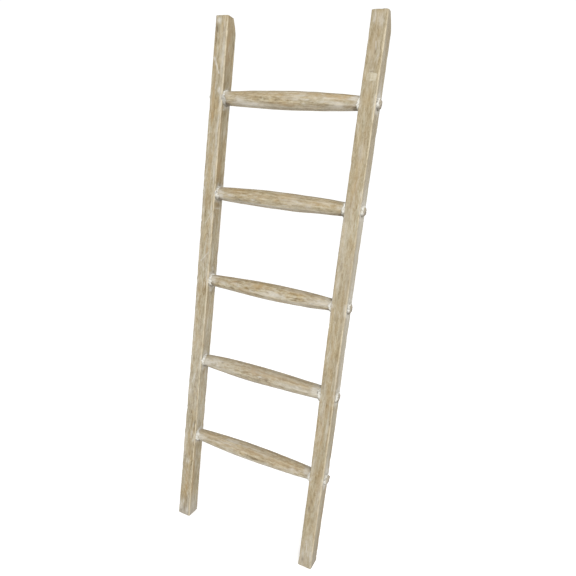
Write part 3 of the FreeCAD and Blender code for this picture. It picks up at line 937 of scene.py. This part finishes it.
def wood_material(name, along, length, shift, contrast, warmth):
    """Brushed, limewashed wood with its grain along one axis; length draws its streaks out."""
    material, tree = new_material(name)

    def drawn(length):
        return (length, 1, 1) if along == "x" else (1, 1, length)

    fibre = texture(tree, drawn(24), 900, 3, 0.65, 0.1, shift)
    streak = texture(tree, drawn(14 * length), 180, 2, 0.55, 0.5, shift + 1)
    figure = texture(tree, drawn(6 * length), 48, 2, 0.5, 1.6, shift + 2)
    flecks = texture(tree, drawn(3.4), 330, 4, 0.72, 0.3, shift + 3)
    cloud = texture(tree, drawn(5), 34, 3, 0.6, 0.3, shift + 4)
    blotch = texture(tree, drawn(2.6), 180, 3, 0.6, 0.8, shift + 6)
    warm = texture(tree, drawn(6 * length), 75, 2, 0.5, 0.4, shift + 7)

    # growth rings: the figure's noise cut into bands, as where a saw crosses them at a slant
    bands = calculate(tree, "SINE", multiply(tree, figure, 64.0))
    bands = remap(tree, bands, -1.0, 1.0)
    parts = [(streak, 1.15), (blotch, 1.20), (cloud, 0.45), (fibre, 0.85), (bands, 0.14)]
    tone = mixture(tree, [(value, weight * contrast) for value, weight in parts])
    colour = ramp(tree, tone, [
        (0.00, tint(136, 118, 82)),
        (0.24, tint(165, 148, 114)),
        (0.46, tint(184, 169, 136)),
        (0.68, tint(197, 184, 155)),
        (0.98, tint(214, 204, 180)),
    ])
    warmer, cooler = remap(tree, warm, 0.50, 0.66, 0.0, warmth), remap(tree, warm, 0.34, 0.48, 0.7, 0.0)
    colour = blend(tree, warmer, colour, (1.02, 0.95, 0.80, 1.0), "MULTIPLY")
    colour = blend(tree, cooler, colour, (0.94, 0.98, 0.99, 1.0), "MULTIPLY")

    # browner wood where the wash was rubbed away, and painted shade under and along the rungs, by the joints
    # and on the stiles
    rubbed_and_shaded = painted(tree, "shade", blotch, 0.30, 0.60, 0.75, 1.0)
    colour = blend(tree, rubbed_and_shaded, colour, (0.74, 0.68, 0.57, 1.0), "MULTIPLY")
    tan = painted(tree, "warm", blotch, 0.34, 0.62, 0.9, 0.45)
    colour = blend(tree, tan, colour, tint(196, 166, 118))

    # a cooler, greyer cast
    cast = painted(tree, "grey", streak, 0.35, 0.65, 0.45, 0.9)
    colour = blend(tree, cast, colour, tint(184, 176, 162))

    # limewash: in the pores, in patches, round the joints and on the worn arrises
    pores = remap(tree, flecks, 0.58, 0.68)
    patches = remap(tree, cloud, 0.54, 0.74)
    wash = painted(tree, "wash", flecks, 0.32, 0.58, 0.45, 1.0)
    white = calculate(tree, "ADD", wash, multiply(tree, patches, 0.16))
    white = calculate(tree, "ADD", white, multiply(tree, pores, 0.34), True)
    colour = blend(tree, multiply(tree, white, 0.80), colour, tint(230, 225, 213))
    worn = painted(tree, "wear", blotch, 0.36, 0.56, 0.45, 0.95)
    colour = blend(tree, worn, colour, tint(230, 216, 186))

    # dark fibres, knots and the ends; the dark layer also holds painted shadow under the rungs by the stiles
    # and on the tenon ends
    pits = remap(tree, fibre, 0.30, 0.40, 0.35, 0.0)
    colour = blend(tree, pits, colour, tint(126, 106, 76))
    knots = painted(tree, "dark", flecks, 0.3, 0.6, 0.65, 1.0)
    colour = blend(tree, multiply(tree, knots, 0.72), colour, tint(112, 94, 68))
    sawn = texture(tree, (1, 1, 1), 520, 4, 0.7, 0.0, shift + 5)
    ends = painted(tree, "end_grain", sawn, 0.42, 0.62, 0.0, 1.0)
    colour = blend(tree, multiply(tree, ends, 0.5), colour, tint(146, 128, 98))

    height = calculate(tree, "ADD", multiply(tree, fibre, 0.7),
                       multiply(tree, flecks, 0.5))
    matt_surface(tree, colour, remap(tree, flecks, 0.3, 0.7, 0.66, 0.84), 0.3, height, 0.6, 0.5 * MM)
    return material


def filler_material():
    """Off-white wood filler, mottled and matt, darker in its pits and behind the rungs, with painted shade
    below them.
    """
    material, tree = new_material("wood_filler")
    mottle = texture(tree, (1, 1, 1), 230, 4, 0.65, 0.3, 20)
    specks = texture(tree, (1, 1, 1), 900, 3, 0.6, 0.0, 21)
    colour = ramp(tree, mottle, [
        (0.32, tint(190, 181, 160)),
        (0.45, tint(234, 230, 217)),
        (0.60, tint(254, 252, 245)),
    ])
    colour = blend(tree, remap(tree, specks, 0.58, 0.75, 0.0, 0.4), colour, tint(166, 152, 126))
    colour = blend(tree, multiply(tree, layer(tree, "dark"), 0.80), colour, tint(106, 95, 74))
    matt_surface(tree, colour, remap(tree, mottle, 0.3, 0.7, 0.78, 0.92), 0.25, mottle, 0.5, 0.5 * MM)
    return material


def plug_material():
    """The filler of the knot hole, stained like the wood round it."""
    material, tree = new_material("plug_filler")
    mottle = texture(tree, (1, 1, 3), 160, 4, 0.6, 0.4, 24)
    colour = ramp(tree, mottle, [
        (0.30, tint(196, 183, 154)),
        (0.48, tint(212, 202, 177)),
        (0.68, tint(224, 217, 198)),
    ])
    colour = blend(tree, multiply(tree, layer(tree, "dark"), 0.7), colour, tint(160, 143, 110))
    matt_surface(tree, colour, remap(tree, mottle, 0.3, 0.7, 0.74, 0.88), 0.25, mottle, 0.4, 0.4 * MM)
    return material


def steel_material():
    """Dull steel with a little brown tarnish."""
    material, tree = new_material("brad_steel")
    tarnish = texture(tree, (1, 1, 1), 700, 4, 0.6, 0.0, 30)
    colour = blend(tree, remap(tree, tarnish, 0.4, 0.65), (0.52, 0.51, 0.49, 1.0), (0.24, 0.16, 0.10, 1.0))
    shader = add(tree, "ShaderNodeBsdfPrincipled", {
        "Base Color": colour,
        "Metallic": remap(tree, tarnish, 0.4, 0.65, 0.95, 0.55),
        "Roughness": remap(tree, tarnish, 0.3, 0.7, 0.38, 0.62),
    })
    add(tree, "ShaderNodeOutputMaterial", {"Surface": shader.outputs[0]})
    return material


stile_finish = {
    "left": wood_material("limewashed_stile_left", "z", 0.60, 0.0, 1.22, 0.8),
    "right": wood_material("limewashed_stile_right", "z", 0.65, 0.0, 1.0, 0.5),
}
upper_rung_finish = wood_material("limewashed_rung_upper", "x", 0.35, 8.0, 1.4, 0.8)
lower_rung_finish = wood_material("limewashed_rung_lower", "x", 0.30, 8.0, 1.7, 1.0)
filler_finish = filler_material()
plug_finish = plug_material()
steel_finish = steel_material()

for side in SIDES:
    make_stile(side, stile_finish[side])
    for number in range(1, 6):
        make_collar(RUNG_NODES[number - 1], number, side, False, filler_finish)
        make_collar(RUNG_NODES[number - 1], number, side, True, filler_finish)
        make_brad(side, number, steel_finish)
for number, node in enumerate(RUNG_NODES, start=1):
    make_rung(node, number, upper_rung_finish if number < 3 else lower_rung_finish)
make_knot_plug(plug_finish)


# ---- studio ----

WHITE_WALL = 1.06           # brightness of the studio's walls
DIM_SKY = 0.40              # and of its ceiling behind the ladder
BRIGHT_SKY = 1.30           # and in front of it
FLOOR_GLOW = 0.30           # light that the white floor gives off by itself
FLOOR_REACH = 40.0

floor_mesh = bpy.data.meshes.new("studio_floor")
corners = [(FLOOR_REACH * x, FLOOR_REACH * y, 0) for x, y in ((-1, -1), (1, -1), (1, 1), (-1, 1))]
floor_mesh.from_pydata(corners, [], [(0, 1, 2, 3)])
floor = bpy.data.objects.new("studio_floor", floor_mesh)
bpy.context.scene.collection.objects.link(floor)
floor_finish = bpy.data.materials.new("white_floor")
floor_finish.use_nodes = True
floor_inputs = floor_finish.node_tree.nodes["Principled BSDF"].inputs
floor_inputs["Base Color"].default_value = (0.95, 0.95, 0.95, 1.0)
floor_inputs["Roughness"].default_value = 0.9
floor_inputs["Specular IOR Level"].default_value = 0.1
floor_inputs["Emission Color"].default_value = (1.0, 1.0, 1.0, 1.0)
floor_inputs["Emission Strength"].default_value = FLOOR_GLOW
floor_mesh.materials.append(floor_finish)

# The studio is white all round up to head height. Above that it is bright in front and dimmer
# behind and to the sides, so that rounded edges turn away into soft shade.
world = bpy.data.worlds.new("soft_white_studio")
world.use_nodes = True
sky = world.node_tree
direction = add(sky, "ShaderNodeTexCoord", {}).outputs["Generated"]
towards = add(sky, "ShaderNodeSeparateXYZ", {"Vector": direction})
overhead = remap(sky, towards.outputs["Z"], 0.40, 0.58)
from_front = multiply(sky, towards.outputs["Y"], -0.87)
from_front = calculate(sky, "ADD", from_front, multiply(sky, towards.outputs["X"], 0.50))
upper_light = remap(sky, from_front, -0.15, 0.55, DIM_SKY, BRIGHT_SKY)
strength = multiply(sky, overhead, calculate(sky, "SUBTRACT", upper_light, WHITE_WALL))
strength = calculate(sky, "ADD", strength, WHITE_WALL)
sky.links.new(strength, sky.nodes["Background"].inputs["Strength"])
sky.nodes["Background"].inputs["Color"].default_value = (1.0, 1.0, 1.0, 1.0)
bpy.context.scene.world = world

# one round softbox to the right of the camera, aimed at the middle of the ladder
key_light = bpy.data.lights.new("key", "AREA")
key_light.shape = "DISK"
key_light.size = 1.2
key_light.energy = 55
key = bpy.data.objects.new("key", key_light)
key.location = (1.5, -2.6, 2.9)
key.rotation_euler = (Vector((0, 0, 0.8)) - key.location).to_track_quat("-Z", "Y").to_euler()
bpy.context.scene.collection.objects.link(key)

# The camera stands a little right of the ladder's middle, at chest height, looking slightly
# down. The ladder leans back in life, and the camera's roll shows the same lean.
camera_data = bpy.data.cameras.new("camera")
camera_data.lens = 30.827
camera_data.sensor_width = 36.0
camera = bpy.data.objects.new("camera", camera_data)
camera.location = (0.62382, -1.30375, 1.14736)
turned_left, looking_down, roll = math.radians(23.496), math.radians(11.562), math.radians(6.463)
aim = Matrix.Rotation(turned_left, 4, "Z") @ Matrix.Rotation(math.pi / 2 - looking_down, 4, "X")
camera.rotation_euler = (aim @ Matrix.Rotation(roll, 4, "Z")).to_euler()
bpy.context.scene.collection.objects.link(camera)
bpy.context.scene.camera = camera
bpy.context.scene.view_settings.view_transform = "Standard"
